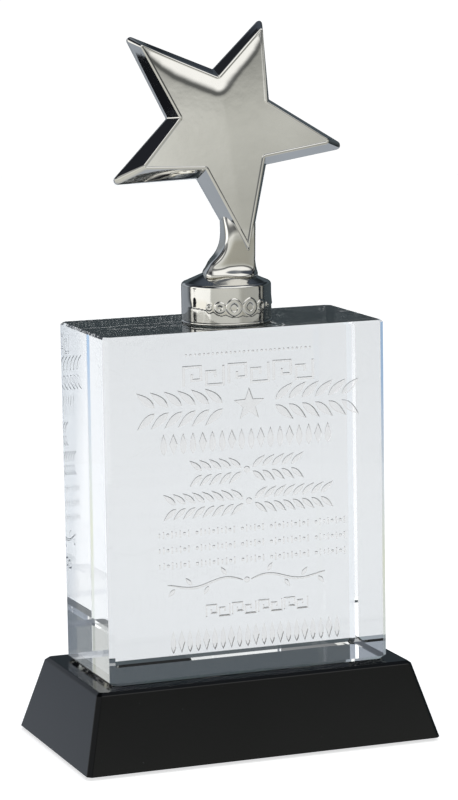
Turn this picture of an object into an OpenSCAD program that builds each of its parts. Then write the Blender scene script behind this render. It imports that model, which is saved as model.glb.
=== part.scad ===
// Star trophy: a cast star on a round metal collar, on an engraved crystal block and a dark plinth.
// Millimetres. The origin is at floor level under the middle of the plinth; the front faces -Y.

/* [Plinth] */
// Ledge left on the plinth's top beside the block
ledge_side = 5.5; // [2:0.1:15]
// Ledge left on the plinth's top in front of the block and behind it
ledge_front = 4.8; // [2:0.05:15]
// How much wider the plinth is at the bottom than at the top, on each side
flare_side = 6; // [1:0.1:12]
// How much deeper the plinth is at the bottom than at the top, at front and back
flare_front = 7.3; // [1:0.1:12]
// Height of the plinth
plinth_h = 22; // [12:0.5:40]
// Width cut off each slanting corner
plinth_corner = 1.2; // [0.4:0.1:3]
// Size of the polished chamfer round the top edge
plinth_edge = 0.8; // [0.3:0.1:2]

/* [Feet] */
// Radius of each clear foot disc
foot_r = 5; // [3:0.5:8]
// Thickness of each clear foot disc
foot_h = 0.8; // [0.5:0.1:2]
// Distance from the plinth's bottom edges to the rim of a foot
foot_inset = 4; // [2:0.5:10]

/* [Crystal block] */
// Width of the block
block_w = 85.4; // [60:0.2:120]
// Depth of the block, front to back
block_d = 41; // [34:0.5:60]
// Height of the block
block_h = 100; // [60:1:150]
// Size of the chamfers on the upright edges
block_corner = 1.4; // [0.5:0.1:4]
// Size of the chamfers round the bottom
block_edge = 1; // [0.3:0.1:2]
// Size of the chamfers round the top
block_top_edge = 0.6; // [0.3:0.1:2]
// Thickness of the cured adhesive films
bond_t = 0.1; // [0.1:0.05:0.3]
// How far the adhesive films stay inside the edges above them
bond_margin = 0.5; // [0.2:0.1:2]

/* [Collar] */
// Where the collar's axis stands on the block, sideways
collar_x = 1; // [-5:0.5:5]
// Where the collar's axis stands on the block, front to back
collar_y = -2; // [-4:0.5:4]
// Outer radius of the collar
collar_r = 13; // [12:0.5:15]
// Height of the collar
collar_h = 13; // [12:0.5:20]
// Thickness of the collar's side wall
collar_wall = 2; // [1.5:0.1:3]
// Thickness of the collar's top, where the stud goes through
collar_top = 3; // [2.5:0.1:4]
// Radius of the flat that the star stands on
collar_flat_r = 7; // [5:0.5:8]
// How much the top rises from its rim to the flat
collar_rise = 2.2; // [1:0.1:3]
// Rounding between the side and the top
collar_round = 1.2; // [0.5:0.1:2]
// Height of the chain of links above the collar's lower edge
chain_z = 4.4; // [3.5:0.1:6]
// How far the links stand out
chain_relief = 0.4; // [0.2:0.1:0.8]
// Thickness of the disc that closes the collar's underside
disc_t = 1; // [0.6:0.1:2]
// How far the disc stands out past the collar
disc_lip = 0.2; // [0:0.1:0.6]

/* [Fixing] */
// Radius of the threaded stud
stud_r = 2; // [1.5:0.25:2]
// Depth of the blind hole in the star's foot
stud_grip = 5; // [3:0.5:5.5]
// Length of stud left showing past the nut
stud_tail = 1; // [0.5:0.5:2]
// Radial play between the stud and the threads that hold it
thread_clear = 0.05; // [0.03:0.01:0.1]
// Radial play between the stud and the hole in the collar
hole_clear = 0.25; // [0.1:0.05:0.5]
// Thickness of the lock washer
washer_t = 0.9; // [0.5:0.1:1.2]
// Outer radius of the lock washer
washer_r = 3.8; // [3:0.1:4.5]
// Width of the nut across its flats
nut_af = 7; // [5.5:0.5:8]
// Height of the nut
nut_h = 3.2; // [2:0.1:4]

/* [Star] */
// Reach of the longest arm's face corner from the star's centre
star_reach = 34; // [26:0.5:42]
// Radius of the notches between the arms, at the face
star_waist = 14.5; // [12:0.5:18]
// Full thickness of the star
star_t = 9; // [7:0.5:12]
// Depth of the upright side wall between the two bevels
star_wall = 1; // [0.5:0.1:3]
// How far the face rises from its edges to its middle
star_crown = 0.5; // [0.2:0.1:1.5]
// Width of the bevel, measured in the plane of the star
star_bevel = 1.8; // [1:0.1:3]
// Backward lean of the star
star_lean = 11; // [0:1:15]
// Gap between the collar's top and the star's lowest corner
star_gap = 2.3; // [1:0.1:6]
// Place of the star's centre beside the collar's axis
star_x = 1.1; // [-2:0.1:3]
// Place of the star's centre behind the collar's axis
star_y = 4.5; // [2:0.5:7]

/* [Hidden] */
$fn = 96;

// The plinth's outline, worked out from the block that it carries
plinth_top_w = block_w + 2 * ledge_side;
plinth_top_d = block_d + 2 * ledge_front;
plinth_w = plinth_top_w + 2 * flare_side;
plinth_d = plinth_top_d + 2 * flare_front;

// Levels, each standing on the one before
plinth_z = foot_h;
bond_z = plinth_z + plinth_h;
block_z = bond_z + bond_t;
block_top_z = block_z + block_h;
disc_z = block_top_z + bond_t;
collar_z = disc_z + disc_t;
star_z = collar_z + collar_h;
washer_z = star_z - collar_top - washer_t;
nut_z = washer_z - nut_h;
stud_z = nut_z - stud_tail;
stud_len = star_z + stud_grip - stud_z;

// Feet stand at the same distance from the edges whatever the plinth's size
foot_x = plinth_w / 2 - foot_inset - foot_r;
foot_y = plinth_d / 2 - foot_inset - foot_r;

// Links of the chain: angle from the front and radius, largest in the middle
CHAIN = [[10.7, 2.2], [28.7, 1.5], [42.7, 0.8]];
CHAIN_FN = 48;

// Arms clockwise from the upper left: direction, face reach and rim reach as shares of star_reach.
// The casting was modelled by hand, so no two arms are quite alike.
ARMS = [
    [135.9, 1.000, 1.094], [63.5, 0.904, 1.002], [-10.9, 0.940, 1.105],
    [-84.2, 1.046, 1.180], [-156.4, 0.827, 1.065]
];
NOTCH_ANGLES = [94.5, 26.5, -42.1, -121.8, -190.9];
NOTCH_GROW = 1.32;

LOWER_ARM = ARMS[3];
STEM_SHARE = 0.62;

// The star's centre stands so high that its lowest corner clears the collar by star_gap
lower_reach = star_reach * LOWER_ARM[2];
star_rise = star_gap - lower_reach * sin(LOWER_ARM[0]) * cos(star_lean);

// The stem runs from the foot up into the middle of the lower arm
foot_middle = [0.5, -0.8, 0];
stem_inset = STEM_SHARE * star_reach * LOWER_ARM[1];
stem_end = [
    star_x + stem_inset * cos(LOWER_ARM[0]),
    star_y + stem_inset * sin(LOWER_ARM[0]) * sin(star_lean),
    star_rise + stem_inset * sin(LOWER_ARM[0]) * cos(star_lean)
];
// Slices of the stem: shares of the way up, across and back to stem_end, half width, half depth
STEM = [
    [0, 0, 0, 8.2, 7.6], [0.06, 0.07, 0, 7.4, 6.8], [0.275, 0.85, -0.2, 5.4, 5.6],
    [0.5, 1.45, -0.35, 4.7, 4.6], [0.75, 1.3, 0.2, 4.2, 4.0], [1, 1, 1, 2.4, 2.2]
];
STEM_SIDES = 24;

module wedge(bottom, top, h, low_cut, high_cut, length) {
    rotate([90, 0, 0])
        linear_extrude(length, center = true)
            polygon([
                [-bottom / 2 + low_cut, 0], [bottom / 2 - low_cut, 0], [bottom / 2, low_cut],
                [top / 2, h - high_cut], [top / 2 - high_cut, h], [-top / 2 + high_cut, h],
                [-top / 2, h - high_cut], [-bottom / 2, low_cut]
            ]);
}

// A four-sided slab or frustum with chamfered edges and cut corners
module chamfered(w, d, top_w, top_d, h, corner, low_cut, high_cut) {
    reach = w + d;
    diagonal = (w + d - 2 * corner) / sqrt(2);
    top_diagonal = (top_w + top_d - 2 * corner) / sqrt(2);
    intersection() {
        wedge(w, top_w, h, low_cut, high_cut, reach);
        rotate([0, 0, 90]) wedge(d, top_d, h, low_cut, high_cut, reach);
        rotate([0, 0, 45]) wedge(diagonal, top_diagonal, h, 0, 0, reach);
        rotate([0, 0, -45]) wedge(diagonal, top_diagonal, h, 0, 0, reach);
    }
}

module base_plinth() {
    color("#26292d")
        translate([0, 0, plinth_z])
            chamfered(plinth_w, plinth_d, plinth_top_w, plinth_top_d, plinth_h, plinth_corner, 0,
                plinth_edge);
}

module foot(side, depth) {
    color([0.85, 0.88, 0.9, 0.5])
        translate([side * foot_x, depth * foot_y, 0])
            cylinder(h = foot_h, r = foot_r);
}
module foot_front_left() { foot(-1, -1); }
module foot_front_right() { foot(1, -1); }
module foot_back_left() { foot(-1, 1); }
module foot_back_right() { foot(1, 1); }

module base_bond() {
    inset = 2 * (block_edge + bond_margin);
    color([0.9, 0.93, 0.95, 0.5])
        translate([0, 0, bond_z + bond_t / 2])
            cube([block_w - inset, block_d - inset, bond_t], center = true);
}

module crystal_block() {
    color([0.86, 0.9, 0.92, 0.4])
        translate([0, 0, block_z])
            chamfered(block_w, block_d, block_w, block_d, block_h, block_corner, block_edge,
                block_top_edge);
}

// Everything above the block turns about this axis
module on_collar_axis(z) {
    translate([collar_x, collar_y, z]) children();
}

module collar_bond() {
    color([0.9, 0.93, 0.95, 0.5])
        on_collar_axis(block_top_z) cylinder(h = bond_t, r = collar_r - bond_margin);
}

module mounting_disc() {
    color("silver")
        on_collar_axis(disc_z) cylinder(h = disc_t, r = collar_r + disc_lip);
}

module collar_body() {
    rim_z = collar_h - collar_rise;
    centre_r = collar_r - collar_round;
    centre_z = rim_z - collar_round;
    rotate_extrude()
        polygon(concat(
            [[0, 0], [collar_r, 0]],
            [for (a = [0 : 15 : 75]) [centre_r + collar_round * cos(a), centre_z + collar_round * sin(a)]],
            [[collar_flat_r, collar_h], [0, collar_h]]
        ));
}

module chain_links() {
    for (link = CHAIN, side = [-1, 1])
        rotate([0, 0, side * link[0]])
            translate([0, -collar_r + collar_wall / 2, chain_z])
                rotate([90, 0, 0])
                    cylinder(h = collar_wall / 2 + chain_relief, r = link[1], $fn = CHAIN_FN);
}

module collar() {
    color("#b9b9b2")
        on_collar_axis(collar_z)
            difference() {
                union() {
                    collar_body();
                    chain_links();
                }
                translate([0, 0, -1])
                    cylinder(h = collar_h - collar_top + 1, r = collar_r - collar_wall);
                cylinder(h = collar_h + 1, r = stud_r + hole_clear);
            }
}

module lock_nut() {
    color("gainsboro")
        on_collar_axis(nut_z)
            difference() {
                cylinder(h = nut_h, r = nut_af / sqrt(3), $fn = 6);
                translate([0, 0, -1]) cylinder(h = nut_h + 2, r = stud_r + thread_clear);
            }
}

module lock_washer() {
    color("gainsboro")
        on_collar_axis(washer_z)
            difference() {
                cylinder(h = washer_t, r = washer_r);
                translate([0, 0, -1]) cylinder(h = washer_t + 2, r = stud_r + hole_clear);
            }
}

module threaded_stud() {
    color("gainsboro")
        on_collar_axis(stud_z) cylinder(h = stud_len, r = stud_r);
}

function polar(r, a) = [r * cos(a), r * sin(a)];
// Ten corners clockwise: an arm's tip, then the notch after it
function star_ring(column, notch_r) = [
    for (i = [0 : 4], k = [0, 1])
        k == 0 ? polar(star_reach * ARMS[i][column], ARMS[i][0]) : polar(notch_r, NOTCH_ANGLES[i])
];
function at_depth(ring, y) = [for (p = ring) [p[0], y, p[1]]];

// The crowned face rises from its edges to a point over the centre, alike at front and back
module star_plate() {
    face = star_ring(1, star_waist);
    rim = star_ring(2, star_waist + star_bevel * NOTCH_GROW);
    crown = star_t / 2 + star_crown;
    points = concat(
        at_depth(face, -star_t / 2), at_depth(rim, -star_wall / 2),
        at_depth(rim, star_wall / 2), at_depth(face, star_t / 2),
        [[0, -crown, 0], [0, crown, 0]]
    );
    bands = [
        for (level = [0 : 2], i = [0 : 9], half = [0, 1])
            let (a = level * 10 + i, b = level * 10 + (i + 1) % 10)
                half == 0 ? [a, a + 10, b] : [b, a + 10, b + 10]
    ];
    front = [for (i = [0 : 9]) [40, i, (i + 1) % 10]];
    back = [for (i = [0 : 9]) [41, 30 + (i + 1) % 10, 30 + i]];
    polyhedron(points = points, faces = concat(front, back, bands));
}

function stem_ring(s) =
    let (way = stem_end - foot_middle)
        [
            for (i = [0 : STEM_SIDES - 1])
                let (a = 360 * i / STEM_SIDES, across = [s[3] * cos(a), s[4] * sin(a), 0])
                    foot_middle + across + [way[0] * s[1], way[1] * s[2], way[2] * s[0]]
        ];

module stem() {
    n = STEM_SIDES;
    last = len(STEM) - 1;
    bands = [
        for (level = [0 : last - 1], i = [0 : n - 1], half = [0, 1])
            let (a = level * n + i, b = level * n + (i + 1) % n)
                half == 0 ? [a, a + n, b] : [b, a + n, b + n]
    ];
    floor_face = [for (i = [0 : n - 1]) i];
    top_face = [for (i = [n - 1 : -1 : 0]) last * n + i];
    polyhedron(
        points = [for (s = STEM) each stem_ring(s)],
        faces = concat([floor_face, top_face], bands)
    );
}

module star_casting() {
    color("#c6c6c0")
        on_collar_axis(star_z)
            difference() {
                union() {
                    translate([star_x, star_y, star_rise])
                        rotate([-star_lean, 0, 0])
                            star_plate();
                    stem();
                }
                translate([0, 0, -1]) cylinder(h = stud_grip + 1, r = stud_r + thread_clear);
            }
}

base_plinth();
foot_front_left();
foot_front_right();
foot_back_left();
foot_back_right();
base_bond();
crystal_block();
collar_bond();
mounting_disc();
collar();
lock_nut();
lock_washer();
threaded_stud();
star_casting();
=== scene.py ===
# Star trophy: a cast star on a metal collar, on an engraved crystal block and a dark crystal plinth.
import math

import bmesh
import bpy
from mathutils import Matrix, Vector
from mathutils.geometry import tessellate_polygon


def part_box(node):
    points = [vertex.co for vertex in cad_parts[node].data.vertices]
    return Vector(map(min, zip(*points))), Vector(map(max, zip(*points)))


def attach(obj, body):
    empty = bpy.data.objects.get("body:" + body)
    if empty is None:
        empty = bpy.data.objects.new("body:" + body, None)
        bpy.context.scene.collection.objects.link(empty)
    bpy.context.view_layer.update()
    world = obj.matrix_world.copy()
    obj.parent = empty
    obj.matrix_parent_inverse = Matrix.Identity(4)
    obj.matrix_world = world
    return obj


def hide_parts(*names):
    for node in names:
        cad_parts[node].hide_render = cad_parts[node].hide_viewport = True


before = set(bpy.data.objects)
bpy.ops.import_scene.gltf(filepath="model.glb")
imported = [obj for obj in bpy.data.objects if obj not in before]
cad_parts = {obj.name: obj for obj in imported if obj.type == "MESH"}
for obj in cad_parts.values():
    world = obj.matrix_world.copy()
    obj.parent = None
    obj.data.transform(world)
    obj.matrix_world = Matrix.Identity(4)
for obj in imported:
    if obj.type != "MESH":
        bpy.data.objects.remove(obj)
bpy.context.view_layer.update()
mm = 0.001

# ---------------------------------------------------------------------------------------------
# Camera and studio. A long lens looks slightly down on the trophy from its front left. The room
# is pale below, with one soft window high in front, one at the left, and a dark ceiling behind.
# ---------------------------------------------------------------------------------------------
camera_data = bpy.data.cameras.new("camera")
camera = bpy.data.objects.new("camera", camera_data)
bpy.context.scene.collection.objects.link(camera)
bpy.context.scene.camera = camera
camera_data.sensor_width = 36
camera_data.lens = 143.64
camera_data.clip_start = 0.01
camera_data.clip_end = 50

camera_turn = math.radians(-20.549)
camera_rise = math.radians(8.867)
camera_roll = math.radians(-0.96)
camera_distance = 0.9278
camera_target = Vector((2.07, 0, 99.53)) * mm
camera_back = Vector((
    math.sin(camera_turn) * math.cos(camera_rise),
    -math.cos(camera_turn) * math.cos(camera_rise),
    math.sin(camera_rise),
))
camera.location = camera_target + camera_back * camera_distance
camera.rotation_mode = "QUATERNION"
camera.rotation_quaternion = (
    camera_back.to_track_quat("Z", "Y") @ Matrix.Rotation(camera_roll, 3, "Z").to_quaternion()
)

scene = bpy.context.scene
scene.view_settings.view_transform = "Standard"
scene.view_settings.look = "None"
scene.cycles.max_bounces = 24
scene.cycles.transmission_bounces = 24
scene.cycles.glossy_bounces = 12
scene.cycles.transparent_max_bounces = 16
scene.cycles.blur_glossy = 0.2


def node(tree, kind, inputs=None, **settings):
    """Adds one node, sets its options, and fills its inputs from numbers or other sockets."""
    made = tree.nodes.new(kind)
    for name, value in settings.items():
        setattr(made, name, value)
    for key, value in (inputs or {}).items():
        if isinstance(value, bpy.types.NodeSocket):
            tree.links.new(value, made.inputs[key])
        else:
            made.inputs[key].default_value = value
    return made


def ramp(tree, factor, stops, interpolation="LINEAR"):
    """A colour ramp with stops given as (position, (r, g, b))."""
    made = node(tree, "ShaderNodeValToRGB", {"Fac": factor})
    made.color_ramp.interpolation = interpolation
    points = made.color_ramp.elements
    while len(points) < len(stops):
        points.new(0.5)
    for point, (position, colour) in zip(points, stops):
        point.position = position
        point.color = (*colour, 1)
    return made.outputs["Color"]


def calc(tree, operation, a, b=0.0, c=0.0):
    made = node(tree, "ShaderNodeMath", {0: a, 1: b, 2: c}, operation=operation)
    return made.outputs[0]


def turn(degrees):
    """Where a direction falls on a ramp that runs once round the room, front in the middle."""
    return 0.5 + degrees / 360


PALE_WALL = (0.565, 0.57, 0.535)
LIGHT_WALL = (0.66, 0.665, 0.63)
WARM_SIDE = (0.86, 0.865, 0.83)
COOL_SIDE = (0.6, 0.61, 0.59)
BLUE_BACK = (0.082, 0.102, 0.118)
BLUE_SIDE = (0.4, 0.44, 0.5)
DARK = (0.012, 0.015, 0.02)
NAVY = (0.075, 0.09, 0.115)
NIGHT = (0.02, 0.022, 0.028)
WINDOW = (1.6, 1.6, 1.58)
TOP_WINDOW = (1.25, 1.25, 1.23)

world = bpy.data.worlds.new("studio")
scene.world = world
world.use_nodes = True
room = world.node_tree
room.nodes.clear()
way = node(room, "ShaderNodeTexCoord").outputs["Generated"]
axes = node(room, "ShaderNodeSeparateXYZ", {0: way})
around = calc(room, "ARCTAN2", axes.outputs[0], calc(room, "MULTIPLY", axes.outputs[1], -1.0))
around = calc(room, "MULTIPLY_ADD", around, 1 / (2 * math.pi), 0.5)
height = calc(room, "MULTIPLY_ADD", axes.outputs[2], 0.5, 0.5)
walls = ramp(room, around, [
    (turn(-180), BLUE_SIDE), (turn(-140), BLUE_SIDE), (turn(-126), DARK), (turn(-121), WINDOW),
    (turn(-63), WINDOW), (turn(-60), WARM_SIDE), (turn(9), WARM_SIDE), (turn(17), LIGHT_WALL),
    (turn(21), PALE_WALL), (turn(70), COOL_SIDE), (turn(72), DARK), (turn(78), DARK),
    (turn(82), PALE_WALL), (turn(88), DARK), (turn(96), BLUE_BACK), (turn(176), BLUE_BACK),
    (turn(180), BLUE_SIDE),
])
ceiling = ramp(room, around, [
    (turn(-180), NAVY), (turn(-165), NAVY), (turn(-155), NIGHT), (turn(-60), NIGHT),
    (turn(-34), TOP_WINDOW), (turn(60), TOP_WINDOW), (turn(75), NAVY), (turn(180), NAVY),
])


def rise(degrees):
    """Where an elevation falls on a ramp that runs from straight down to straight up."""
    return 0.5 + math.sin(math.radians(degrees)) / 2


wall_shade = ramp(room, height, [
    (rise(-7), (0.84, 0.84, 0.83)), (rise(4), (0.76, 0.74, 0.68)), (rise(9), (0.93, 0.93, 0.91)),
    (rise(13), (1, 1, 1)), (rise(17), (1.18, 1.18, 1.18)), (rise(23), (0.24, 0.245, 0.255)),
    (rise(31), (0.24, 0.245, 0.255)),
])
# On a colour mix, input 0 is the share and inputs 6 and 7 are the two colours
shaded = node(
    room, "ShaderNodeMix", {0: 1.0, 6: walls, 7: wall_shade}, data_type="RGBA", blend_type="MULTIPLY")
above = ramp(room, height, [(rise(27), (0, 0, 0)), (rise(42), (1, 1, 1))], "EASE")
overhead = ramp(room, height, [(rise(62), (0, 0, 0)), (rise(72), (1, 1, 1))], "EASE")
mixed = node(room, "ShaderNodeMix", {0: above, 6: shaded.outputs[2], 7: ceiling}, data_type="RGBA")
topped = node(
    room, "ShaderNodeMix", {0: overhead, 6: mixed.outputs[2], 7: (0.2, 0.22, 0.25, 1)}, data_type="RGBA")
room_light = node(room, "ShaderNodeBackground", {"Color": topped.outputs[2], "Strength": 1.0})
backdrop = node(room, "ShaderNodeBackground", {"Color": (1, 1, 1, 1), "Strength": 1.05})
seen = node(room, "ShaderNodeLightPath").outputs["Is Camera Ray"]
room_mix = node(room, "ShaderNodeMixShader", {0: seen, 1: room_light.outputs[0], 2: backdrop.outputs[0]})
node(room, "ShaderNodeOutputWorld", {"Surface": room_mix.outputs[0]})


def flat_disc(name, radius, middle, z, material):
    """A round sheet for the studio, lying level at height z."""
    mesh = bpy.data.meshes.new(name)
    made = bpy.data.objects.new(name, mesh)
    scene.collection.objects.link(made)
    shape = bmesh.new()
    bmesh.ops.create_circle(shape, cap_ends=True, segments=96, radius=radius)
    bmesh.ops.translate(shape, verts=shape.verts, vec=(*middle, z))
    shape.to_mesh(mesh)
    shape.free()
    mesh.materials.append(material)
    return made


def glowing(name, colour, strength):
    material = bpy.data.materials.new(name)
    material.use_nodes = True
    tree = material.node_tree
    tree.nodes.clear()
    lit = node(tree, "ShaderNodeEmission", {"Color": (*colour, 1), "Strength": strength})
    node(tree, "ShaderNodeOutputMaterial", {"Surface": lit.outputs[0]})
    return material, tree, lit


floor_paint = bpy.data.materials.new("floor_white")
floor_paint.use_nodes = True
paint = floor_paint.node_tree.nodes["Principled BSDF"]
paint.inputs["Base Color"].default_value = (0.82, 0.83, 0.84, 1)
paint.inputs["Roughness"].default_value = 0.9
paint.inputs["Specular IOR Level"].default_value = 0.0
paint.inputs["Emission Color"].default_value = (1, 1, 1, 1)
paint.inputs["Emission Strength"].default_value = 0.68
floor = flat_disc("floor", 1.7, (0, 0.3), -0.0002, floor_paint)
floor.visible_glossy = False

# What polished parts see of the table: warm in front, grey blue beside and behind
table_paint, tree, lit = glowing("table_tone", (1, 1, 1), 1.0)
spot_on_table = node(tree, "ShaderNodeSeparateXYZ", {
    0: node(tree, "ShaderNodeTexCoord").outputs["Object"]})
depth_share = calc(tree, "MULTIPLY_ADD", spot_on_table.outputs[1], 1.0, 0.5)
tone = ramp(tree, depth_share, [
    (0.1, (0.66, 0.66, 0.62)), (0.3, (0.58, 0.59, 0.58)), (0.45, (0.45, 0.49, 0.55)),
    (1.0, (0.36, 0.4, 0.46))])
tree.links.new(tone, lit.inputs["Color"])
table = flat_disc("table_tone", 0.5, (0, 0), -0.0012, table_paint)

# A small black card, for the dark patch on the bevel beside the star's upper left tip
black_paint, tree, lit = glowing("black_card", (0.01, 0.011, 0.014), 1.0)
card_radius = 0.015
card_distance = 0.13
card_aim = Vector((-0.0255, 0, 0.2078))
card_way = Vector((-0.77, 0.25, -0.58)).normalized()
card = flat_disc("black_card", card_radius, (0, 0), 0, black_paint)
card.location = card_aim + card_way * card_distance
card.rotation_mode = "QUATERNION"
card.rotation_quaternion = (-card_way).to_track_quat("Z", "Y")

# Only polished surfaces see these two sheets
for sheet in (table, card):
    sheet.visible_camera = False
    sheet.visible_diffuse = False
    sheet.visible_transmission = False
    sheet.visible_shadow = False

overhead_light = bpy.data.lights.new("overhead", "AREA")
overhead_light.shape = "RECTANGLE"
overhead_light.size = 1.2
overhead_light.size_y = 0.9
overhead_light.energy = 4.5
overhead_lamp = bpy.data.objects.new("overhead", overhead_light)
scene.collection.objects.link(overhead_lamp)
overhead_lamp.location = (0.1, 0.1, 1.4)
overhead_lamp.visible_glossy = False
overhead_lamp.visible_transmission = False

# ---------------------------------------------------------------------------------------------
# Plinth. One solid block of black crystal, sawn as a low pyramid, ground flat and polished. Its
# slanting corners and the edge round its top carry narrow polished chamfers.
# ---------------------------------------------------------------------------------------------


def add_piece(name, verts, faces, materials, smooth=False):
    """Makes an object from points in metres and faces, with its normals facing outwards."""
    mesh = bpy.data.meshes.new(name)
    mesh.from_pydata([tuple(v) for v in verts], [], faces)
    shape = bmesh.new()
    shape.from_mesh(mesh)
    bmesh.ops.remove_doubles(shape, verts=shape.verts, dist=1e-7)
    bmesh.ops.recalc_face_normals(shape, faces=shape.faces)
    shape.to_mesh(mesh)
    shape.free()
    for material in materials:
        mesh.materials.append(material)
    for face in mesh.polygons:
        face.use_smooth = smooth
    made = bpy.data.objects.new(name, mesh)
    scene.collection.objects.link(made)
    return made


def finish_piece(made, slot, *cad_nodes):
    """The piece belongs to the rigid trophy and stands for CAD nodes; slot is not used."""
    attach(made, "root")
    if cad_nodes:
        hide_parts(*cad_nodes)


def rings_to_faces(rings, points, cap_first=True, cap_last=True):
    """Quads between closed rings of equal length, with flat caps on the ends."""
    faces = []
    for level in range(rings - 1):
        for i in range(points):
            a = level * points + i
            b = level * points + (i + 1) % points
            faces.append((a, b, b + points, a + points))
    if cap_first:
        faces.append(tuple(range(points)))
    if cap_last:
        faces.append(tuple(range((rings - 1) * points, rings * points)))
    return faces


def chamfered_ring(width, depth, corner, z):
    """An oblong with its corners cut off by corner each way, at height z."""
    w, d = width / 2, depth / 2
    return [
        (-w + corner, -d, z), (w - corner, -d, z), (w, -d + corner, z), (w, d - corner, z),
        (w - corner, d, z), (-w + corner, d, z), (-w, d - corner, z), (-w, -d + corner, z),
    ]


def new_material(name, colour, roughness, **sockets):
    """A shader with its fixed values set on its own sockets. Returns the material, tree and shader."""
    material = bpy.data.materials.new(name)
    material.use_nodes = True
    tree = material.node_tree
    shader = tree.nodes["Principled BSDF"]
    shader.inputs["Base Color"].default_value = (*colour, 1)
    shader.inputs["Roughness"].default_value = roughness
    for key, value in sockets.items():
        shader.inputs[key.replace("_", " ")].default_value = value
    return material, tree, shader


def object_noise(tree, scale, detail=2.0, roughness=0.5):
    """Noise fixed to the piece itself; scale is in features per metre."""
    place = node(tree, "ShaderNodeTexCoord").outputs["Object"]
    return node(tree, "ShaderNodeTexNoise", {
        "Vector": place, "Scale": scale, "Detail": detail, "Roughness": roughness,
    }).outputs["Fac"]


def vary(tree, shader, socket, factor, stops):
    """Drives one socket of the shader with a colour ramp."""
    tree.links.new(ramp(tree, factor, stops), shader.inputs[socket])


def add_bump(tree, shader, height, strength, distance):
    bump = node(tree, "ShaderNodeBump", {"Height": height, "Strength": strength, "Distance": distance})
    tree.links.new(bump.outputs[0], shader.inputs["Normal"])


black_crystal, tree, shader = new_material(
    "black_crystal", (0.002, 0.0022, 0.0025), 0.03, IOR=1.42, Coat_Weight=0.0)
cloud = object_noise(tree, 45, 3)
tint = ramp(tree, cloud, [(0.3, (0.0015, 0.0018, 0.0021)), (0.75, (0.0026, 0.0029, 0.0033))])
place = node(tree, "ShaderNodeTexCoord").outputs["Object"]
dust = node(tree, "ShaderNodeTexVoronoi", {"Vector": place, "Scale": 210.0}, feature="F1")
dust = ramp(tree, dust.outputs["Distance"], [(0.0, (1, 1, 1)), (0.035, (0, 0, 0))])
speck = node(tree, "ShaderNodeMix", {0: dust, 6: tint, 7: (0.06, 0.065, 0.07, 1)}, data_type="RGBA")
tree.links.new(speck.outputs[2], shader.inputs["Base Color"])
vary(tree, shader, "Roughness", object_noise(tree, 120, 4), [
    (0.35, (0.02, 0.02, 0.02)), (0.8, (0.07, 0.07, 0.07))])
add_bump(tree, shader, object_noise(tree, 30, 1), 0.02, 0.001)

low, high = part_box("base_plinth")
plinth_corner = 1.2 * mm
plinth_edge = 0.8 * mm
plinth_size = high - low
plinth_top = Vector((96.4, 50.6)) * mm
edge_share = (plinth_size.z - plinth_edge) / plinth_size.z
shoulder = Vector(plinth_size.xy).lerp(plinth_top, edge_share)
rings = [
    chamfered_ring(plinth_size.x, plinth_size.y, plinth_corner, low.z),
    chamfered_ring(shoulder.x, shoulder.y, plinth_corner, high.z - plinth_edge),
    chamfered_ring(
        plinth_top.x - 2 * plinth_edge, plinth_top.y - 2 * plinth_edge, 0.7 * plinth_corner, high.z),
]
plinth = add_piece("plinth", sum(rings, []), rings_to_faces(3, 8), [black_crystal])


def soften_edges(piece, width, segments=2):
    """Rounds every edge a little, as polishing does."""
    shape = bmesh.new()
    shape.from_mesh(piece.data)
    sharp = [e for e in shape.edges if e.calc_face_angle(0) > math.radians(8)]
    bmesh.ops.bevel(shape, geom=sharp, offset=width, segments=segments, profile=0.5, affect="EDGES")
    shape.to_mesh(piece.data)
    shape.free()


soften_edges(plinth, 0.12 * mm)
finish_piece(plinth, "dark_crystal", "base_plinth")

# ---------------------------------------------------------------------------------------------
# Feet. Four clear vinyl discs, punched from sheet and stuck under the plinth by their own glue.
# They keep the crystal off the shelf. Their lower rims are slightly rounded.
# ---------------------------------------------------------------------------------------------
clear_vinyl, tree, shader = new_material(
    "clear_vinyl", (0.75, 0.78, 0.8), 0.25, Transmission_Weight=0.6, IOR=1.45)
vary(tree, shader, "Base Color", object_noise(tree, 300, 2), [
    (0.3, (0.68, 0.71, 0.73)), (0.7, (0.8, 0.83, 0.85))])


def closed_strips(rows, count, on_axis=()):
    """Quads round a profile that closes on itself, count points to a row, with none on the axis."""
    faces = []
    for row in range(rows):
        below = (row + 1) % rows
        if row in on_axis and below in on_axis:
            continue
        for i in range(count):
            j = (i + 1) % count
            faces.append((row * count + i, row * count + j, below * count + j, below * count + i))
    return faces


def lathe(name, profile, centre, materials, count=96, smooth=True):
    """Turns a closed profile of (radius, height) points about an upright axis through centre."""
    verts = []
    for radius, z in profile:
        for i in range(count):
            a = 2 * math.pi * i / count
            verts.append((centre[0] + radius * math.sin(a), centre[1] - radius * math.cos(a), centre[2] + z))
    on_axis = [row for row, (radius, z) in enumerate(profile) if radius == 0]
    return add_piece(name, verts, closed_strips(len(profile), count, on_axis), materials, smooth)


foot_rim = 0.25 * mm
for side in ("front_left", "front_right", "back_left", "back_right"):
    low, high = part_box("foot_" + side)
    radius = (high.x - low.x) / 2
    thickness = high.z - low.z
    profile = [
        (0, 0), (radius - foot_rim, 0), (radius - 0.3 * foot_rim, 0.3 * foot_rim), (radius, foot_rim),
        (radius, thickness), (0, thickness),
    ]
    foot = lathe("foot_disc_" + side, profile, ((low.x + high.x) / 2, (low.y + high.y) / 2, 0),
                 [clear_vinyl], smooth=False)
    finish_piece(foot, "foot_vinyl", "foot_" + side)

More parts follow.
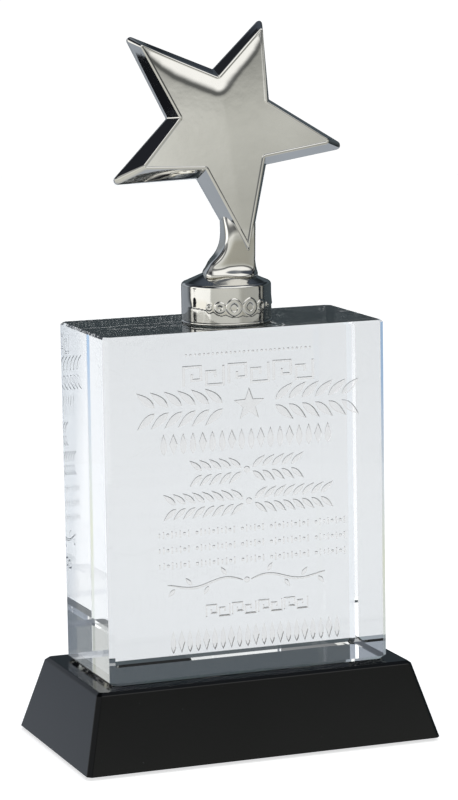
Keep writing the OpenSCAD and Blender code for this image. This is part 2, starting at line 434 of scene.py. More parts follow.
# ---------------------------------------------------------------------------------------------
# Crystal block. One block of optical crystal, sawn, ground and polished, its edges chamfered by
# hand. It is glued to the plinth with a clear film, so its underside looks as dark as the plinth.
# The award's face is sandblasted through a stencil: plain ornament rows, cut to a shallow depth.
# ---------------------------------------------------------------------------------------------
clear_crystal, tree, shader = new_material(
    "clear_crystal", (0.83, 0.845, 0.855), 0.0, Transmission_Weight=1.0, IOR=1.52)
vary(tree, shader, "Base Color", object_noise(tree, 9, 1), [
    (0.3, (0.825, 0.84, 0.852)), (0.7, (0.84, 0.853, 0.862))])
vary(tree, shader, "Roughness", object_noise(tree, 60, 3), [(0.4, (0, 0, 0)), (0.9, (0.02, 0.02, 0.02))])

# The colours of the sides, the back, the edges and the glued base are given one for each. On the
# sides, the back and the edges they are painted shade and painted reflection on the one clear crystal.
side_crystal_painted_shade, tree, shader = new_material(
    "side_crystal_painted_shade", (0.97, 0.985, 1.0), 0.0, Transmission_Weight=1.0, IOR=1.52)
side_place = node(tree, "ShaderNodeSeparateXYZ", {0: node(tree, "ShaderNodeTexCoord").outputs["Object"]})
# Painted shade: the sides grow darker towards the back and towards the top.
side_shade_share = calc(tree, "MULTIPLY_ADD", side_place.outputs[1], 25.0, 0.26)
side_shade_share = calc(tree, "ADD", side_shade_share, calc(tree, "MULTIPLY", side_place.outputs[2], 4.0))
side_shade_share = calc(tree, "ADD", side_shade_share, calc(tree, "MULTIPLY", object_noise(tree, 9, 1), 0.04))
vary(tree, shader, "Base Color", side_shade_share, [(0.6, (0.97, 0.985, 1.0)), (0.85, (0.62, 0.66, 0.7))])

# Painted shade: the back face is a darker copy of the clear crystal, which darkens the view through the
# block.
back_crystal_painted_shade, tree, shader = new_material(
    "back_crystal_painted_shade", (0.57, 0.585, 0.6), 0.0, Transmission_Weight=1.0, IOR=1.52)
vary(tree, shader, "Base Color", object_noise(tree, 9, 1), [
    (0.3, (0.56, 0.58, 0.595)), (0.7, (0.58, 0.592, 0.605))])

# Painted reflection and shade: the upright chamfers darken with height, yellowish lower down and blue at the
# top.
edge_crystal_painted_reflection, tree, shader = new_material(
    "edge_crystal_painted_reflection", (0.62, 0.66, 0.6), 0.0, Transmission_Weight=1.0, IOR=1.52)
up_edge = node(tree, "ShaderNodeSeparateXYZ", {0: node(tree, "ShaderNodeTexCoord").outputs["Object"]})
vary(tree, shader, "Base Color", calc(tree, "MULTIPLY", up_edge.outputs[2], 8.0), [
    (0.2, (0.62, 0.66, 0.6)), (0.42, (0.62, 0.65, 0.42)), (0.6, (0.6, 0.66, 0.66)),
    (0.85, (0.2, 0.38, 0.7)),
])

glued_crystal, tree, shader = new_material(
    "glued_crystal", (0.82, 0.87, 0.83), 0.0, Transmission_Weight=1.0, IOR=1.36)
vary(tree, shader, "Base Color", object_noise(tree, 110, 3), [
    (0.3, (0.78, 0.9, 0.82)), (0.5, (0.83, 0.87, 0.83)), (0.7, (0.88, 0.82, 0.83))])

frosted_crystal, tree, shader = new_material(
    "frosted_crystal", (0.8, 0.795, 0.79), 0.06, Transmission_Weight=1.0, IOR=1.52)
grit = object_noise(tree, 2500, 3)
vary(tree, shader, "Base Color", grit, [(0.3, (0.775, 0.765, 0.76)), (0.7, (0.82, 0.81, 0.8))])
add_bump(tree, shader, grit, 0.06, 0.0001)

cut_crystal, tree, shader = new_material(
    "cut_crystal", (0.84, 0.83, 0.815), 0.22, Transmission_Weight=0.8, IOR=1.52)
vary(tree, shader, "Base Color", object_noise(tree, 2500, 3), [
    (0.3, (0.8, 0.79, 0.775)), (0.7, (0.88, 0.87, 0.855))])

low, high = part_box("crystal_block")
block_corner = 1.4 * mm
block_edge = 1.0 * mm
block_top_edge = 0.6 * mm
block_size = high - low
block_face_y = low.y
film_gap = 0.02 * mm
cut_depth = 0.17 * mm
cut_slope = 0.24 * mm


def along(points, x, z, turned=0.0):
    """A flat shape's points, in millimetres, turned and set at x, z of the front face."""
    c, s = math.cos(turned), math.sin(turned)
    return [(x + (px * c - pz * s), z + (px * s + pz * c)) for px, pz in points]


def lozenge(w, h):
    return [(-w / 2, 0), (0, -h / 2), (w / 2, 0), (0, h / 2)]


def bead(r, sides=14):
    return [
        (r * math.cos(2 * math.pi * i / sides), r * math.sin(2 * math.pi * i / sides))
        for i in range(sides)
    ]


def bar(w, h, round_share=0.45):
    """A bar with rounded ends."""
    r = min(w, h) * round_share
    points = []
    for cx, cz, start in (
        (w / 2 - r, h / 2 - r, 0), (-w / 2 + r, h / 2 - r, 90), (-w / 2 + r, -h / 2 + r, 180),
        (w / 2 - r, -h / 2 + r, 270),
    ):
        for step in range(4):
            a = math.radians(start + 30 * step)
            points.append((cx + r * math.cos(a), cz + r * math.sin(a)))
    return points


def leaf(length, width, steps=7):
    """A pointed leaf lying along +x from its stalk end."""
    upper = [
        (length * i / steps, width / 2 * math.sin(math.pi * (i / steps) ** 0.8)) for i in range(steps + 1)
    ]
    lower = [(x, -z) for x, z in reversed(upper[1:-1])]
    return list(reversed(upper + lower))


def five_point(outer, inner):
    points = []
    for i in range(10):
        r = outer if i % 2 == 0 else inner
        a = math.pi / 2 + math.pi * i / 5
        points.append((r * math.cos(a), r * math.sin(a)))
    return points


def stroke(spine, width, tapered=True):
    """A line of even width through the spine's points, its ends tapered if asked."""
    left, right = [], []
    last = len(spine) - 1
    for i, here in enumerate(spine):
        here = Vector(here)
        into = (here - Vector(spine[i - 1])).normalized() if i > 0 else None
        out = (Vector(spine[i + 1]) - here).normalized() if i < last else None
        first, second = into or out, out or into
        side_a, side_b = Vector((-first.y, first.x)), Vector((-second.y, second.x))
        middle = (side_a + side_b).normalized()
        w = width / 2 / max(middle.dot(side_a), 0.5)
        if tapered:
            w *= 0.35 + 0.65 * math.sin(math.pi * i / last) ** 0.5
        left.append(tuple(here + middle * w))
        right.append(tuple(here - middle * w))
    return right + list(reversed(left))


def key_turn(size):
    """One turn of a squared key border, as a spine."""
    s = size
    return [(-0.48 * s, -0.5 * s), (-0.48 * s, 0.5 * s), (0.48 * s, 0.5 * s), (0.48 * s, -0.2 * s),
            (-0.02 * s, -0.2 * s), (-0.02 * s, 0.12 * s)]


shapes = []


def ornament_row(z, height, left, right, pattern):
    """A row of ornament from left to right: each letter of pattern is one motif or a gap."""
    pitch = (right - left) / len(pattern)
    for i, kind in enumerate(pattern):
        x = left + pitch * (i + 0.5)
        if kind == "b":
            shapes.append(along(bar(pitch * 0.42, height), x, z))
        elif kind == "s":
            shapes.append(along(bar(pitch * 0.42, height * 0.62), x, z))
        elif kind == "l":
            shapes.append(along(lozenge(pitch * 0.86, height), x, z))
        elif kind == "o":
            shapes.append(along(bead(min(pitch * 0.4, height * 0.5)), x, z))
        elif kind == "v":
            shapes.append(along(leaf(height, pitch * 0.66), x, z - height / 2, math.pi / 2))
        elif kind == "k":
            shapes.append(along(stroke(key_turn(height), height * 0.15, False), x, z))
        elif kind == "K":
            flipped = [(-px, -pz) for px, pz in key_turn(height)]
            shapes.append(along(stroke(flipped, height * 0.15, False), x, z))


def garland(z, height, start, end, count):
    """Pairs of laurel leaves along a line from start to end, leaning towards end."""
    outward = 1 if end > start else -1
    for i in range(count):
        x = start + (end - start) * i / count
        for upward in (1, -1):
            a = math.radians(40 * upward if outward > 0 else 180 - 40 * upward)
            shapes.append(along(leaf(height * 0.6, height * 0.19), x, z + upward * height * 0.06, a))


ornament_row(116.5, 0.8, -19, 20, "bobobobobobobobobobobobobobob")
ornament_row(110.4, 5.4, -20, 21, "kKkKkK")
garland(101.4, 12.0, -7.5, -32, 6)
garland(101.4, 12.0, 8.5, 33, 6)
shapes.append(along(five_point(5.0, 2.1), 0.5, 101.2))
ornament_row(91.4, 6.2, -27, 26, "vlvvlvvlvvlvvlvvlv")
garland(82.6, 8.6, -2.2, -17, 5)
garland(82.6, 8.6, 1.2, 16, 5)
shapes.append(along(bead(1.0), -0.5, 82.6))
garland(73.4, 8.6, -1.7, -25, 8)
garland(73.4, 8.6, 1.7, 25, 8)
shapes.append(along(bead(1.0), 0, 73.4))
for z in (65.5, 61.0, 56.5):
    ornament_row(z, 2.1, -28, 30, "sbobsbob.obsbobsbob.obsbob.obobsbobob.obsbobob")
ornament_row(42.4, 3.3, -14, 18, "kKkKkKkK")
ornament_row(34.2, 6.6, -25, 28, "vlvvlvvlvvlvvlvvlvvlv")



def scroll(side, t):
    """A point on the divider's wave, from t = 0 by the middle bead to t = 1 at its far end."""
    return -1 + side * (1.2 + 23.0 * t), 50.5 + 1.3 * math.sin(2.2 * math.pi * t) * (1 - 0.4 * t)


# The divider is a pair of scrolls, each with four small leaves, meeting at a bead
for side in (-1, 1):
    line = stroke([scroll(side, i / 24) for i in range(25)], 0.8)
    shapes.append(line if side > 0 else list(reversed(line)))
    for share, tilt in ((0.22, 55), (0.45, -55), (0.68, 50), (0.9, -45)):
        x, z = scroll(side, share)
        a = math.radians(tilt if side > 0 else 180 - tilt)
        shapes.append(along(leaf(3.0, 1.3), x, z + (0.8 if tilt > 0 else -0.8), a))
shapes.append(along(bead(0.9), -1, 50.5))


def area_of(points):
    return 0.5 * sum(
        points[i][0] * points[(i + 1) % len(points)][1] - points[(i + 1) % len(points)][0] * points[i][1]
        for i in range(len(points))
    )


def drawn_in(points, distance):
    """The same outline moved inwards; points run anticlockwise seen from the front."""
    moved = []
    count = len(points)
    for i in range(count):
        before = Vector(points[i - 1])
        here = Vector(points[i])
        after = Vector(points[(i + 1) % count])
        a = (here - before).normalized()
        b = (after - here).normalized()
        na, nb = Vector((-a.y, a.x)), Vector((-b.y, b.x))
        middle = (na + nb).normalized()
        reach = distance / max(middle.dot(na), 0.45)
        moved.append(tuple(here + middle * reach))
    return moved


cy = (low.y + high.y) / 2
rings = []
for z, inset in (
    (low.z + film_gap, block_edge), (low.z + block_edge, 0), (high.z - block_top_edge, 0),
    (high.z, block_top_edge),
):
    ring = chamfered_ring(block_size.x - 2 * inset, block_size.y - 2 * inset, block_corner, z)
    rings += [(x, y + cy, z) for x, y, z in ring]
faces = rings_to_faces(4, 8)
# The front face between the corner chamfers is left out here and made with the cuts below
front = [f for f in faces if len(f) == 4 and all(
    abs(rings[i][1] - low.y) < 1e-9 for i in f)]
faces = [f for f in faces if f not in front]
verts = list(rings)
marks = []
slopes = []
for shape in shapes:
    outline = [(x * mm, z * mm) for x, z in shape]
    if area_of(outline) < 0:
        outline.reverse()
    floor_line = drawn_in(outline, cut_slope)
    base = len(verts)
    count = len(outline)
    verts += [(x, block_face_y, z) for x, z in outline]
    verts += [(x, block_face_y + cut_depth, z) for x, z in floor_line]
    walls_made = [(base + i, base + (i + 1) % count, base + count + (i + 1) % count, base + count + i)
                  for i in range(count)]
    for tri in tessellate_polygon([[Vector((x, z, 0)) for x, z in floor_line]]):
        marks.append(tuple(base + count + i for i in tri))
    slopes += walls_made
corners = front[0]
face_lines = [[Vector((rings[i][0], rings[i][2], 0)) for i in corners]]
lookup = list(corners)
start = len(rings)
for shape in shapes:
    outline = [(x * mm, z * mm) for x, z in shape]
    if area_of(outline) < 0:
        outline.reverse()
    face_lines.append([Vector((x, z, 0)) for x, z in outline])
    lookup += range(start, start + len(outline))
    start += 2 * len(outline)
front_tris = [tuple(lookup[i] for i in tri) for tri in tessellate_polygon(face_lines)]
block_mesh = bpy.data.meshes.new("block")
block_mesh.from_pydata(verts, [], faces + front_tris + marks + slopes)
for material in (
    clear_crystal, frosted_crystal, edge_crystal_painted_reflection, cut_crystal, side_crystal_painted_shade, back_crystal_painted_shade, glued_crystal,
):
    block_mesh.materials.append(material)
first_mark = len(faces) + len(front_tris)
for face in block_mesh.polygons:
    if face.index >= first_mark + len(marks):
        face.material_index = 3
    elif face.index >= first_mark:
        face.material_index = 1
    elif face.center.z < low.z + block_edge:
        face.material_index = 6
    elif face.center.z > high.z - block_top_edge:
        face.material_index = 0
    elif abs(face.normal.x) > 0.9 or (face.normal.x > 0.3 and face.center.y > cy):
        face.material_index = 4
    elif face.normal.x > 0.3 or (face.normal.x < -0.3 and face.center.y > cy):
        face.material_index = 2
    elif face.center.y > cy:
        face.material_index = 5
shape = bmesh.new()
shape.from_mesh(block_mesh)
bmesh.ops.remove_doubles(shape, verts=shape.verts, dist=1e-7)
bmesh.ops.recalc_face_normals(shape, faces=shape.faces)
# Better triangles between the ornaments, with none drawn out to a line
flat_front = {
    f for f in shape.faces if f.material_index == 0 and abs(f.calc_center_median().y - low.y) < 1e-7
}
between = [
    e for e in shape.edges if len(e.link_faces) == 2 and all(f in flat_front for f in e.link_faces)
]
bmesh.ops.beautify_fill(shape, faces=list(flat_front), edges=between)
shape.to_mesh(block_mesh)
shape.free()
block = bpy.data.objects.new("block", block_mesh)
scene.collection.objects.link(block)
finish_piece(block, "clear_crystal", "crystal_block")

# ---------------------------------------------------------------------------------------------
# Adhesive films. Clear glue cured under light, squeezed thin between block and plinth, and between
# the metal disc and the block. They keep the shapes they have in the frame. Their dark colour is
# painted shade in the joints, not the glue's own colour.
# ---------------------------------------------------------------------------------------------
# Painted shade: the glue films are coloured dark for the shade in the joints.
glue, tree, shader = new_material("glue_painted_shade", (0.1, 0.11, 0.11), 0.2, IOR=1.5)
vary(tree, shader, "Base Color", object_noise(tree, 150, 2), [
    (0.3, (0.07, 0.08, 0.08)), (0.7, (0.12, 0.13, 0.13))])
for name in ("base_bond", "collar_bond"):
    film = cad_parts[name]
    film.data.materials.clear()
    film.data.materials.append(glue)

# ---------------------------------------------------------------------------------------------
# Collar. A hollow zinc casting with a domed top and a chain of links in relief along its front,
# polished and nickel plated. A turned disc with a rounded rim closes it below.
# ---------------------------------------------------------------------------------------------
plated_collar, tree, shader = new_material("plated_collar", (0.7, 0.69, 0.66), 0.07, Metallic=1.0)
vary(tree, shader, "Base Color", object_noise(tree, 130, 3), [
    (0.3, (0.66, 0.655, 0.63)), (0.7, (0.74, 0.73, 0.7))])
vary(tree, shader, "Roughness", object_noise(tree, 260, 4), [
    (0.3, (0.04, 0.04, 0.04)), (0.75, (0.13, 0.13, 0.13))])
add_bump(tree, shader, object_noise(tree, 420, 3), 0.1, 0.0003)

disc_low, disc_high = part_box("mounting_disc")
axis = Vector(((disc_low.x + disc_high.x) / 2, (disc_low.y + disc_high.y) / 2, 0))
disc_radius = (disc_high.x - disc_low.x) / 2
disc_thick = disc_high.z - disc_low.z
rim = 0.45 * disc_thick
profile = [(0, 0), (disc_radius - rim, 0)]
for i in range(13):
    a = math.radians(-90 + 15 * i)
    profile.append((disc_radius - rim + rim * math.cos(a), disc_thick / 2 + (disc_thick / 2) * math.sin(a)))
profile += [(disc_radius - rim - 0.6 * mm, disc_thick), (0, disc_thick)]
disc = lathe("disc", profile, (axis.x, axis.y, disc_low.z), [plated_collar], 192)
finish_piece(disc, "collar_metal", "mounting_disc")

collar_low, collar_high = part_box("collar")
collar_radius = 13.0 * mm
collar_height = collar_high.z - collar_low.z
collar_wall = 2.0 * mm
collar_top = 3.0 * mm
collar_flat = 7.0 * mm
collar_rise = 2.2 * mm
collar_round = 1.2 * mm
chain_height = 4.4 * mm
stud_hole = 2.25 * mm
plate_relief = 0.28
link_relief = 0.38
# Links of the chain: angle from the front, half width, half height, width of the ring's stroke
links = [
    (10.7, 2.2, 2.35, 0.85), (28.7, 1.5, 1.45, 0.7), (42.7, 0.85, 0.8, 0.5),
]


def smooth_step(edge0, edge1, x):
    t = min(max((x - edge0) / (edge1 - edge0), 0.0), 1.0)
    return t * t * (3 - 2 * t)


def collar_relief(angle, z):
    """How far the casting's ornament stands out, in metres; angle in degrees from the front."""
    across = math.radians(angle) * collar_radius / mm
    up = (z - chain_height) / mm
    # The plate behind the links has a scalloped lower edge and fades out upwards
    near = min(abs(abs(angle) - centre) / (math.degrees(half * mm / collar_radius) * 1.15)
               for centre, half, tall, wide in links)
    plate_low = -2.85 + 1.9 * smooth_step(4.0, 66.0, abs(angle)) + 0.6 * min(near, 1.0) ** 2
    height = plate_relief * smooth_step(-0.12, 0.12, up - plate_low) * smooth_step(3.2, -1.0, up - plate_low)
    height *= smooth_step(80, 66, abs(angle))
    for centre, half, tall, wide in links:
        dx = across - math.radians(math.copysign(centre, angle)) * collar_radius / mm
        power = 1.6 if half > 2 else 2.0
        r = (abs(dx / half) ** power + abs(up / tall) ** power) ** (1 / power)
        edge = abs(r - 1 + 0.5 * wide / half) * half
        if edge < wide:
            height = max(height, link_relief * (1 - (edge / wide) ** 2) ** 0.7)
    return height * mm


# The steps round the collar are finer over the relief, which reaches 75 degrees either way
front_steps, back_steps = 420, 96
angle_list = [-75 + 150 * i / front_steps for i in range(front_steps)]
angle_list += [75 + 210 * i / back_steps for i in range(back_steps)]
band_rows, dome_rows = 64, 14
rim_z = collar_height - collar_rise
profile = []
for i in range(band_rows):
    profile.append((collar_radius, (rim_z - collar_round) * i / (band_rows - 1), True))
for a in range(6, 79, 6):
    profile.append((
        collar_radius - collar_round + collar_round * math.cos(math.radians(a)),
        rim_z - collar_round + collar_round * math.sin(math.radians(a)), False))
dome_start = profile[-1]
for i in range(1, dome_rows + 1):
    t = i / dome_rows
    radius = dome_start[0] + (collar_flat - dome_start[0]) * t
    profile.append((radius, dome_start[1] + (collar_height - dome_start[1]) * t, False))
profile.append((collar_flat * 0.6, collar_height, False))
profile.append((stud_hole, collar_height, False))
profile.append((stud_hole, collar_height - collar_top, False))
profile.append((collar_radius - collar_wall, collar_height - collar_top, False))
profile.append((collar_radius - collar_wall, 0, False))
verts = []
for radius, z, ornamented in profile:
    for angle in angle_list:
        r = radius
        if ornamented:
            r += collar_relief(angle if angle <= 180 else angle - 360, z)
        a = math.radians(angle)
        verts.append((axis.x + r * math.sin(a), axis.y - r * math.cos(a), collar_low.z + z))
faces = closed_strips(len(profile), len(angle_list))
collar = add_piece("collar_casting", verts, faces, [plated_collar], True)
collar.data.set_sharp_from_angle(angle=math.radians(40))
finish_piece(collar, "collar_metal", "collar")

# ---------------------------------------------------------------------------------------------
# Fixing. A steel stud is screwed into the star's foot, and a split washer and a nut inside the
# collar hold it from below. All three are bright zinc-plated stock parts.
# ---------------------------------------------------------------------------------------------
bright_steel, tree, shader = new_material("bright_steel", (0.6, 0.61, 0.62), 0.25, Metallic=1.0)
vary(tree, shader, "Base Color", object_noise(tree, 500, 3), [
    (0.3, (0.52, 0.53, 0.54)), (0.7, (0.66, 0.67, 0.68))])
add_bump(tree, shader, object_noise(tree, 900, 2), 0.2, 0.0001)

stud_low, stud_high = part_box("threaded_stud")
stud_radius = 2.0 * mm
thread_pitch = 0.7 * mm
thread_depth = 0.38 * mm
stud_steps = 32
rows_per_turn = 8
rows = int((stud_high.z - stud_low.z) / thread_pitch * rows_per_turn)
verts = []
for row in range(rows + 1):
    z = stud_low.z + (stud_high.z - stud_low.z) * row / rows
    for i in range(stud_steps):
        a = 2 * math.pi * i / stud_steps
        phase = ((z - stud_low.z) / thread_pitch - i / stud_steps) % 1.0
        cut = thread_depth * (1 - abs(2 * phase - 1))
        end = min(z - stud_low.z, stud_high.z - z)
        r = min(stud_radius - cut, stud_radius - thread_depth + end)
        verts.append((axis.x + r * math.cos(a), axis.y + r * math.sin(a), z))
stud = add_piece("stud", verts, rings_to_faces(rows + 1, stud_steps), [bright_steel])
finish_piece(stud, "fixing_steel", "threaded_stud")

nut_low, nut_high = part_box("lock_nut")
nut_flat = 7.0 * mm
nut_bore = 2.05 * mm
nut_mouth = 0.3 * mm
nut_chamfer = 0.5 * mm
nut_seat = nut_flat / 2 * 0.97
nut_height = nut_high.z - nut_low.z
verts = []
nut_steps = 72
# Rings of the nut as radius and height; the two without a radius follow the hexagon
nut_rings = [
    (nut_bore, nut_mouth), (nut_bore + nut_mouth, 0), (nut_seat, 0), (None, nut_chamfer),
    (None, nut_height - nut_chamfer), (nut_seat, nut_height), (nut_bore + nut_mouth, nut_height),
    (nut_bore, nut_height - nut_mouth),
]
for radius, z in nut_rings:
    for i in range(nut_steps):
        a = 2 * math.pi * i / nut_steps
        r = radius or nut_flat / 2 / math.cos(math.radians(math.degrees(a) % 60 - 30))
        verts.append((axis.x + r * math.cos(a), axis.y + r * math.sin(a), nut_low.z + z))
nut = add_piece("nut", verts, closed_strips(len(nut_rings), nut_steps), [bright_steel])
finish_piece(nut, "fixing_steel", "lock_nut")

washer_low, washer_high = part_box("lock_washer")
washer_radius = (washer_high.x - washer_low.x) / 2
washer_hole = 2.25 * mm
washer_thick = washer_high.z - washer_low.z
verts = []
washer_steps = 90
split_half = 6
washer_section = (
    (washer_hole, 0), (washer_radius, 0), (washer_radius, washer_thick), (washer_hole, washer_thick),
)
for i in range(washer_steps + 1):
    a = math.radians(split_half + (360 - 2 * split_half) * i / washer_steps)
    for r, z in washer_section:
        verts.append((axis.x + r * math.sin(a), axis.y - r * math.cos(a), washer_low.z + z))
washer = add_piece("split_washer", verts, rings_to_faces(washer_steps + 1, 4), [bright_steel])
finish_piece(washer, "fixing_steel", "lock_washer")

# ---------------------------------------------------------------------------------------------
# Star. One zinc casting, polished and nickel plated: five uneven arms, softly pillowed faces with a
# fine lip round them, wide bevels, and a short boot-shaped stem that stands on the collar.
# ---------------------------------------------------------------------------------------------
plated_star, tree, shader = new_material("plated_star", (0.72, 0.71, 0.68), 0.05, Metallic=1.0)
vary(tree, shader, "Base Color", object_noise(tree, 70, 4), [
    (0.3, (0.69, 0.68, 0.65)), (0.7, (0.75, 0.74, 0.71))])
vary(tree, shader, "Roughness", object_noise(tree, 190, 5), [
    (0.3, (0.03, 0.03, 0.03)), (0.8, (0.11, 0.11, 0.11))])
add_bump(tree, shader, object_noise(tree, 160, 3), 0.08, 0.0004)

star_reach = 34.0
star_thick = 9.0
star_wall = 1.0
star_notch = 14.5
star_notch_rim = 16.876
star_lean = math.radians(11)
star_centre = Vector((axis.x / mm + 1.1, axis.y / mm + 4.5, collar_high.z / mm + 41.48))
notch_radius = 0.45
# Arms clockwise from the upper left: direction, reach at the face and at the rim, tip rounding
arms = [
    (134.6, 1.002, 1.117, 0.7), (64.6, 0.904, 1.0, 0.6), (-10.9, 0.940, 1.105, 1.0),
    (-84.2, 1.046, 1.180, 0.35), (-157.1, 0.827, 1.0985, 0.9),
]
notches = [94.5, 26.5, -42.1, -121.8, -190.9]
edge_samples = 30
corner_samples = 9


def spot(radius, degrees):
    a = math.radians(degrees)
    return Vector((radius * math.cos(a), radius * math.sin(a)))


def star_corners(column, notch):
    points = []
    for i in range(5):
        # The corner is set further out by what the rounding takes off the tip
        points.append(spot(star_reach * arms[i][column] + 1.5 * arms[i][3], arms[i][0]))
        points.append(spot(notch, notches[i]))
    return points


def inset_corners(points, distance):
    """The ten corners of the star's outline moved inwards by distance from each edge."""
    moved = []
    for i, here in enumerate(points):
        a = (here - points[i - 1]).normalized()
        b = (points[(i + 1) % 10] - here).normalized()
        na, nb = Vector((a.y, -a.x)), Vector((b.y, -b.x))
        middle = (na + nb).normalized()
        moved.append(here + middle * (distance / middle.dot(na)))
    return moved


def rounded_outline(points, tip_change, notch_r):
    """Samples the ten-cornered outline with its corners rounded, the same count on every outline."""
    arcs = []
    for i, here in enumerate(points):
        to_before = (points[i - 1] - here).normalized()
        to_after = (points[(i + 1) % 10] - here).normalized()
        half = to_before.angle(to_after) / 2
        r = max(arms[i // 2][3] + tip_change, 0.03) if i % 2 == 0 else notch_r
        cut = r / math.tan(half)
        start, end = here + to_before * cut, here + to_after * cut
        centre = here + (to_before + to_after).normalized() * (r / math.sin(half))
        arc = []
        for k in range(corner_samples):
            t = k / (corner_samples - 1)
            direction = (start - centre).lerp(end - centre, t).normalized()
            arc.append(centre + direction * r)
        arcs.append(arc)
    line = []
    for i in range(10):
        line += arcs[i]
        a, b = arcs[i][-1], arcs[(i + 1) % 10][0]
        for k in range(1, edge_samples):
            t = k / edge_samples
            line.append(a.lerp(b, t - 0.12 * math.sin(2 * math.pi * t) / math.pi))
    return line


face_corners = star_corners(1, star_notch)
rim_corners = star_corners(2, star_notch_rim)
crease_width = 1.0
crease_corners = inset_corners(face_corners, crease_width)


def fade_out(x):
    """How much of the scoop is left: it falls evenly, then eases out towards x = 1."""
    if x < 0.2:
        return 0.6 - x
    if x < 1:
        u = (x - 0.2) / 0.8
        return 0.4 * (1 - u - math.sin(math.pi * u) / math.pi)
    return 0.0


star_crown = 0.5
crown_radius = 30
scoop_slope = math.tan(math.radians(19))
fold_slope = math.tan(math.radians(1.2)) * 0.5
# Width of the scoop along the two upper edges, from the notch to each tip
left_widths = [7.2, 7.3, 7.3, 7.0, 6.0, 3.8, 0.4]
right_widths = [5.9, 5.3, 5.1, 5.1, 4.8, 3.6, 0.5]


def width_at(widths, t):
    place = t * (len(widths) - 1)
    i = min(int(place), len(widths) - 2)
    return widths[i] + (widths[i + 1] - widths[i]) * (place - i)


def face_height(p):
    """How far the face stands off its flat at p: a scoop along the upper edges, a fold, a crown."""
    corner = face_corners[1]
    away = p - corner
    best = None
    for tip, widths in ((face_corners[0], left_widths), (face_corners[2], right_widths)):
        edge = tip - corner
        t = min(max(away.dot(edge) / edge.length_squared, 0.0), 1.0)
        d = (away - edge * t).length
        if best is None or d < best[0] - 1e-9:
            best = (d, width_at(widths, t), t)
    d, width, t = best
    if t < 1e-6 and d > 1e-6:
        # Beyond the notch the width passes smoothly from one edge's to the other's
        left = (face_corners[0] - corner).normalized()
        right = (face_corners[2] - corner).normalized()
        a = math.acos(max(-1.0, min(1.0, away.normalized().dot(left)))) - math.pi / 2
        b = math.acos(max(-1.0, min(1.0, away.normalized().dot(right)))) - math.pi / 2
        share = max(a, 0.0) / max(max(a, 0.0) + max(b, 0.0), 1e-6)
        share = share * share * (3 - 2 * share)
        width = left_widths[0] * (1 - share) + right_widths[0] * share
    down = scoop_slope * width * fade_out(d / width) if width > 0.05 else 0.0
    # A faint fold runs from the notch down the middle and softens on its way
    to_middle = (-corner).normalized()
    leftward = away.x * to_middle.y - away.y * to_middle.x
    soft = 0.25 + 0.03 * max(away.dot(to_middle), 0.0)
    down += fold_slope * (leftward + math.hypot(leftward, soft))
    return star_crown * (1 - min(p.length / crown_radius, 1.0) ** 2) - down


# The lip: distance in from the face's edge, and height above it
lip = [(0.0, 0.0), (0.12, 0.09), (0.32, 0.15), (0.55, 0.15), (0.78, 0.08), (0.92, -0.04), (1.0, -0.08)]
inner_rings = 60


def face_rings(side):
    """Rings of one face from its edge to its centre; side is -1 for the front, 1 for the back."""
    rings = []
    for distance, height in lip:
        corners = inset_corners(face_corners, distance)
        line = rounded_outline(corners, -distance, notch_radius + distance)
        rings.append([Vector((p.x, side * (star_thick / 2 + height + face_height(p)), p.y)) for p in line])
    crease = rounded_outline(crease_corners, -crease_width, notch_radius + crease_width)
    base_height = star_thick / 2 + lip[-1][1]
    for k in range(1, inner_rings):
        share = 1 - (k / inner_rings) ** 1.25
        rings.append([
            Vector((p.x * share, side * (base_height + face_height(p * share)), p.y * share)) for p in crease
        ])
    return rings


def wall_rings():
    """Rings of the bevels and the upright wall between the two faces; the rim is rounded over."""
    edge = rounded_outline(face_corners, 0.0, notch_radius)
    rim_line = rounded_outline(rim_corners, 0.25, notch_radius)
    rings = []
    for side, stops in (
        (-1, ((0.0, 0.0), (0.4, 0.395), (0.78, 0.76), (0.9, 0.87), (0.97, 0.945), (1.0, 1.0))),
        (1, ((1.0, 1.0), (0.97, 0.945), (0.9, 0.87), (0.78, 0.76), (0.4, 0.395), (0.0, 0.0))),
    ):
        for across, fall in stops:
            ring = []
            for a, b in zip(edge, rim_line):
                spread = a.lerp(b, across)
                start = star_thick / 2 + face_height(a)
                ring.append(Vector((spread.x, side * (start + (star_wall / 2 - start) * fall), spread.y)))
            rings.append(ring)
    return rings


lean = Matrix.Rotation(-star_lean, 3, "X")


def star_place(p):
    return (star_centre + lean @ p) * mm


front_rings = face_rings(-1)
back_rings = face_rings(1)
rings = list(reversed(front_rings)) + wall_rings()[1:-1] + back_rings
points = len(rings[0])
verts = [star_place(p) for ring in rings for p in ring]
faces = rings_to_faces(len(rings), points, False, False)
base_height = star_thick / 2 + lip[-1][1] + face_height(Vector((0, 0)))
for side, ring_index in ((-1, 0), (1, len(rings) - 1)):
    middle = len(verts)
    verts.append(star_place(Vector((0, side * base_height, 0))))
    first = ring_index * points
    faces += [(middle, first + i, first + (i + 1) % points) for i in range(points)]
star = add_piece("star", verts, faces, [plated_star], True)
star.data.set_sharp_from_angle(angle=math.radians(24))

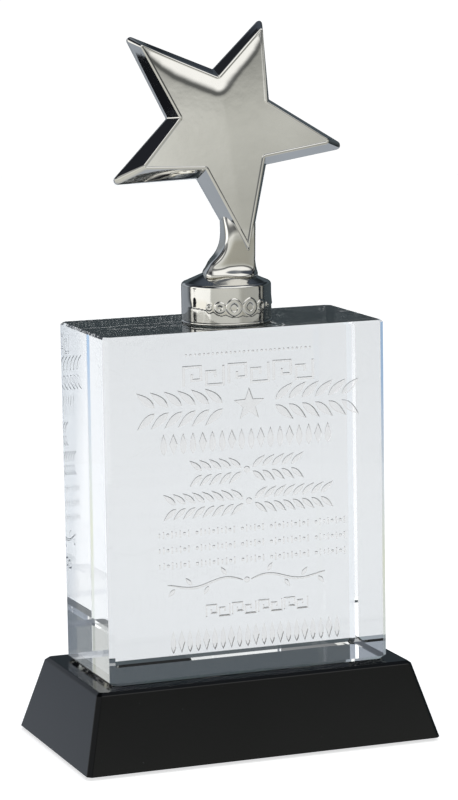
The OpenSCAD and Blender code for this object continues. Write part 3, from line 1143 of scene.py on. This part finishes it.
# The stem: slices from the foot up into the lower arm: share of the height, of the way across and
# back, half width, half depth, squareness
foot_middle = Vector((axis.x / mm + 0.5, axis.y / mm - 0.8, collar_high.z / mm))
stem_end = Vector((axis.x / mm + 3.3, axis.y / mm + 0.3, collar_high.z / mm + 20.0))
way = stem_end - foot_middle
slices = [
    (0.0, -0.12, 0.0, 9.0, 6.5, 2.6), (0.012, -0.12, 0.0, 9.4, 6.9, 2.7),
    (0.035, -0.12, 0.0, 9.4, 6.8, 2.9), (0.055, -0.12, 0.0, 9.1, 6.3, 3.2),
    (0.08, -0.08, 0.0, 8.6, 5.85, 3.6), (0.12, -0.04, 0.0, 8.0, 5.6, 4.2),
    (0.16, 0.02, 0.0, 7.5, 5.5, 5.0), (0.21, 0.16, 0.0, 6.8, 5.4, 5.6), (0.26, 0.4, 0.0, 6.15, 5.3, 6.0),
    (0.33, 0.62, 0.0, 5.5, 5.2, 6.0), (0.42, 0.8, 0.0, 5.1, 5.05, 5.6), (0.52, 0.9, 0.0, 4.95, 4.9, 5.0),
    (0.64, 0.98, 0.1, 5.1, 4.5, 4.4), (0.76, 1.04, 0.4, 5.3, 4.1, 3.8), (0.88, 1.06, 0.8, 5.2, 3.4, 3.0),
    (1.0, 1.0, 1.4, 4.6, 2.9, 2.6), (1.12, 0.95, 2.0, 3.2, 2.2, 2.2),
]
stem_points = 128
tongue_reach = 1.1
back_taper = 0.4
dome_flat = 7.0
dome_fall = 0.43
verts = []
for up, across, back, half_width, half_depth, square in slices:
    middle = foot_middle + Vector((way.x * across, way.y * back, way.z * up))
    for i in range(stem_points):
        a = 2 * math.pi * i / stem_points
        c, s = math.cos(a), math.sin(a)
        x = math.copysign(abs(c) ** (2 / square), c) * half_width
        y = math.copysign(abs(s) ** (2 / square), s) * half_depth
        # A tongue runs forward at the foot
        tongue = max(1 - ((x - 2.0) / 5.0) ** 2, 0.0) * max(1 - up / 0.11, 0.0)
        y -= tongue_reach * tongue * max(-y / half_depth, 0.0) ** 2
        # The stem narrows towards the back, less so where it joins the arm
        x *= 1 - back_taper * max(1 - up, 0.0) ** 0.5 * (0.5 + 0.5 * y / half_depth)
        p = middle + Vector((x, y, 0))
        # The sole follows the collar's dome
        out_from_axis = math.hypot(p.x - axis.x / mm, p.y - axis.y / mm)
        p.z -= max(out_from_axis - dome_flat, 0.0) * dome_fall * max(1 - up / 0.2, 0.0) ** 1.5
        verts.append(p * mm)
stem = add_piece("star_stem", verts, rings_to_faces(len(slices), stem_points), [plated_star], True)
smooth_stem = stem.modifiers.new("smooth", "SUBSURF")
smooth_stem.levels = 1
smooth_stem.render_levels = 1
stem.data.set_sharp_from_angle(angle=math.radians(50))
finish_piece(star, "star_metal", "star_casting")
finish_piece(stem, "star_metal")
